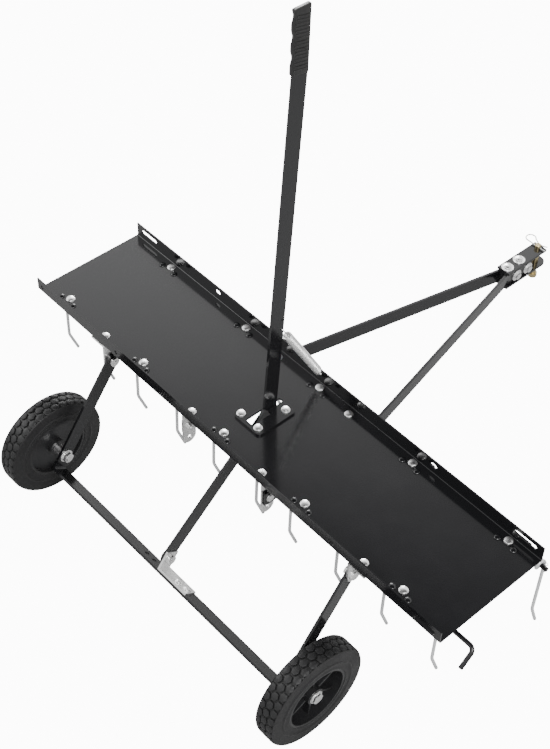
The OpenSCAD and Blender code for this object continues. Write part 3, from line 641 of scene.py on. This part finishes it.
def on_grip(forward, up, across):
    """A point measured from the grip's foot, whose lower edge is higher at the rear."""
    fade = max(0, 1 - up / GRIP_FOOT_FADE) ** 2
    slope = GRIP_FOOT_SLOPE * (GRIP_FRONT - forward) / GRIP_FOOT_WIDTH * fade
    return Vector((LEVER_X + across, GRIP_FOOT[0] + forward, GRIP_FOOT[1] + up + slope))


def lever_grip():
    """The grip, as rings up the lever whose corners are round, with slanted ridges on its broad faces."""
    half, front = GRIP_HALF, GRIP_FRONT
    corner, steps = 1.8, 5
    rings, count = 120, 4 * steps
    shape = Shape()
    verts = []
    for i in range(rings + 1):
        up = GRIP_LENGTH * i / rings
        ends = min(up, GRIP_LENGTH - up)
        shrink = 1.2 * max(0, 1 - ends / 2.5) ** 2
        rear = grip_rear(up)
        ring = []
        for cx, cy, start in ((half, front, 0), (-half, front, 90), (-half, -rear, 180), (half, -rear, 270)):
            for k in range(steps):
                angle = math.radians(start + 22.5 * k)
                sx = math.copysign(corner + shrink, cx)
                sy = math.copysign(corner + shrink, cy)
                ring.append((cx - sx + corner * math.cos(angle), cy - sy + corner * math.sin(angle)))
        verts += [on_grip(y, up, x) for x, y in ring]
    faces = [tuple(reversed(range(count))), tuple(range(rings * count, (rings + 1) * count))]
    for i in range(rings):
        for k in range(count):
            m = (k + 1) % count
            faces.append((i * count + k, i * count + m, (i + 1) * count + m, (i + 1) * count + k))
    shape.add(verts, faces)
    for i in range(int((GRIP_LENGTH - 16) / RIDGE_PITCH)):
        up = RIDGE_FIRST + i * RIDGE_PITCH
        for side in (-1, 1):
            x = side * (half + 0.1)
            start = on_grip(-grip_rear(up) + 3.2, up - RIDGE_SLANT, x)
            end = on_grip(front - 2.6, up + RIDGE_SLANT, x)
            shape.add(*tube([start, start.lerp(end, 0.5), end], RIDGE_R, 8))
    shape.piece("lever_grip_rubber", "lever", "grip_rubber", ["lever_grip"], 45)


def hitch_clip():
    """A spring clip: a straight leg through the pin, a ring behind it and a leg that hugs the pin."""
    wire_r = 1.3
    centre = Vector((0, HITCH_PIN_Y, CLIP_Z))
    ring_r, ring_x = 9.8, -26
    path = [Vector((16, 0, 0)), Vector((0, 0, 0)), Vector((ring_x, 0, 0))]
    for i in range(1, 25):
        angle = math.radians(-90 - 10 * i)
        path.append(Vector((ring_x + ring_r * math.cos(angle), ring_r + ring_r * math.sin(angle), 0)))
    path += rounded([(-17.5, 14.7, 0), (-5.5, 8.4, 0), (0, 7.7, 0), (7, 9, 0), (13, 12.5, 0)], 2.2, 4)[1:]
    shape = Shape()
    shape.add(*tube([centre + p for p in path], wire_r, 12))
    shape.piece("hitch_clip_wire", "hitch_clip", "zinc", ["hitch_clip"], 60)


def rod_cotters():
    """Split pins: an eye and two straight legs, one a little longer than the other."""
    wire_r, eye_r = 0.6, 3
    end = ROD_END - 4
    shape = Shape()
    for x, bolt_y in ((-end, REAR_BOLT_Y), (-end, FRONT_BOLT_Y), (end, FRONT_BOLT_Y)):
        centre = Vector((x, bolt_y + ROD_AHEAD, ROD_Z))
        path = [Vector((-0.62, 0, -9)), Vector((-0.62, 0, 0)), Vector((-0.62, 0, 8))]
        for i in range(13):
            angle = math.radians(-110 - 26.7 * i)
            path.append(Vector((eye_r * math.cos(angle), 0, 12 + eye_r * math.sin(angle))))
        path += [Vector((0.62, 0, 8)), Vector((0.62, 0, 0)), Vector((0.62, 0, -8.6))]
        shape.add(*tube([centre + p for p in path], wire_r, 8))
    shape.piece("rod_cotter_set", "tray", "zinc", ["rod_cotters"], 60)


def studio_floor():
    """A floor that the camera sees as plain white, and that the machine's faces see as pale gray."""
    mat = bpy.data.materials.new("pale_floor")
    mat.use_nodes = True
    nodes, links = mat.node_tree.nodes, mat.node_tree.links
    shader = nodes["Principled BSDF"]
    shader.inputs["Base Color"].default_value = (FLOOR_GRAY, FLOOR_GRAY, FLOOR_GRAY, 1)
    shader.inputs["Roughness"].default_value = 0.9
    glow = nodes.new("ShaderNodeEmission")
    glow.inputs["Strength"].default_value = FLOOR_WHITE
    path = nodes.new("ShaderNodeLightPath")
    mix = nodes.new("ShaderNodeMixShader")
    links.new(path.outputs["Is Camera Ray"], mix.inputs["Fac"])
    links.new(shader.outputs["BSDF"], mix.inputs[1])
    links.new(glow.outputs["Emission"], mix.inputs[2])
    links.new(mix.outputs["Shader"], nodes["Material Output"].inputs["Surface"])
    return mat


def studio_sky():
    """Soft light from all round, brightest at half height, with a dark ceiling that the deck mirrors."""
    world = bpy.data.worlds.new("studio")
    world.use_nodes = True
    nodes, links = world.node_tree.nodes, world.node_tree.links
    coords = nodes.new("ShaderNodeTexCoord")
    split = nodes.new("ShaderNodeSeparateXYZ")
    ramp = nodes.new("ShaderNodeValToRGB")
    stops = ramp.color_ramp.elements
    while len(stops) < len(SKY):
        stops.new(0.5)
    for stop, (height, level) in zip(stops, SKY):
        stop.position = height
        stop.color = (level, level, level, 1)
    links.new(coords.outputs["Generated"], split.inputs["Vector"])
    links.new(split.outputs["Z"], ramp.inputs["Fac"])
    links.new(ramp.outputs["Color"], nodes["Background"].inputs["Color"])
    nodes["Background"].inputs["Strength"].default_value = SKY_STRENGTH
    return world


def stage():
    """Floor, soft studio light and the photograph's camera."""
    scene = bpy.context.scene
    ground = bpy.data.meshes.new("floor")
    reach = 12
    corners = [(-reach, -reach, 0), (reach, -reach, 0), (reach, reach, 0), (-reach, reach, 0)]
    ground.from_pydata(corners, [], [(0, 1, 2, 3)])
    floor = bpy.data.objects.new("floor", ground)
    scene.collection.objects.link(floor)
    ground.materials.append(studio_floor())
    scene.world = studio_sky()
    for name, place, size, power in LAMPS:
        light = bpy.data.lights.new(name, "AREA")
        light.size = size
        light.energy = power
        lamp = bpy.data.objects.new(name, light)
        lamp.location = place
        lamp.rotation_euler = (Vector((0, 0, 0.4)) - Vector(place)).to_track_quat("-Z", "Y").to_euler()
        scene.collection.objects.link(lamp)
    camera = bpy.data.objects.new("camera", bpy.data.cameras.new("camera"))
    camera.data.lens = CAMERA_LENS
    camera.data.sensor_width = 36
    camera.data.sensor_fit = "HORIZONTAL"
    camera.data.clip_end = 50
    right = Vector(CAMERA_RIGHT).normalized()
    up = Vector(CAMERA_UP)
    up = (up - up.dot(right) * right).normalized()
    turn = Matrix((right, up, right.cross(up))).transposed().to_4x4()
    camera.matrix_world = Matrix.Translation(at(CAMERA_PLACE)) @ turn
    scene.collection.objects.link(camera)
    scene.camera = camera


dress_nodes()
for node in ("latch_plate", "lever", "wheel_frame", "lever_bracket", "tow_bar_left", "tow_bar_right",
             "hitch_upper_plate", "hitch_lower_plate", "hitch_block",
             "frame_hanger_left", "frame_hanger_right",
             "tow_bracket_rear_left", "tow_bracket_rear_right",
             "tow_bracket_front_left", "tow_bracket_front_right",
             "tine_brackets_rear", "tine_brackets_front", "rim_left", "rim_right"):
    soften(node, EDGE)
soften("tray", TRAY_EDGE)
soften("hitch_pin", EDGE)
deck_bolts()
rivets()
hanger_bolts()
tow_bracket_bolts()
latch_bolts()
hitch_bolts()
frame_bolts()
tines()
lift_spring()
tyre(-1, "left")
tyre(1, "right")
lever_grip()
hitch_clip()
rod_cotters()
stage()
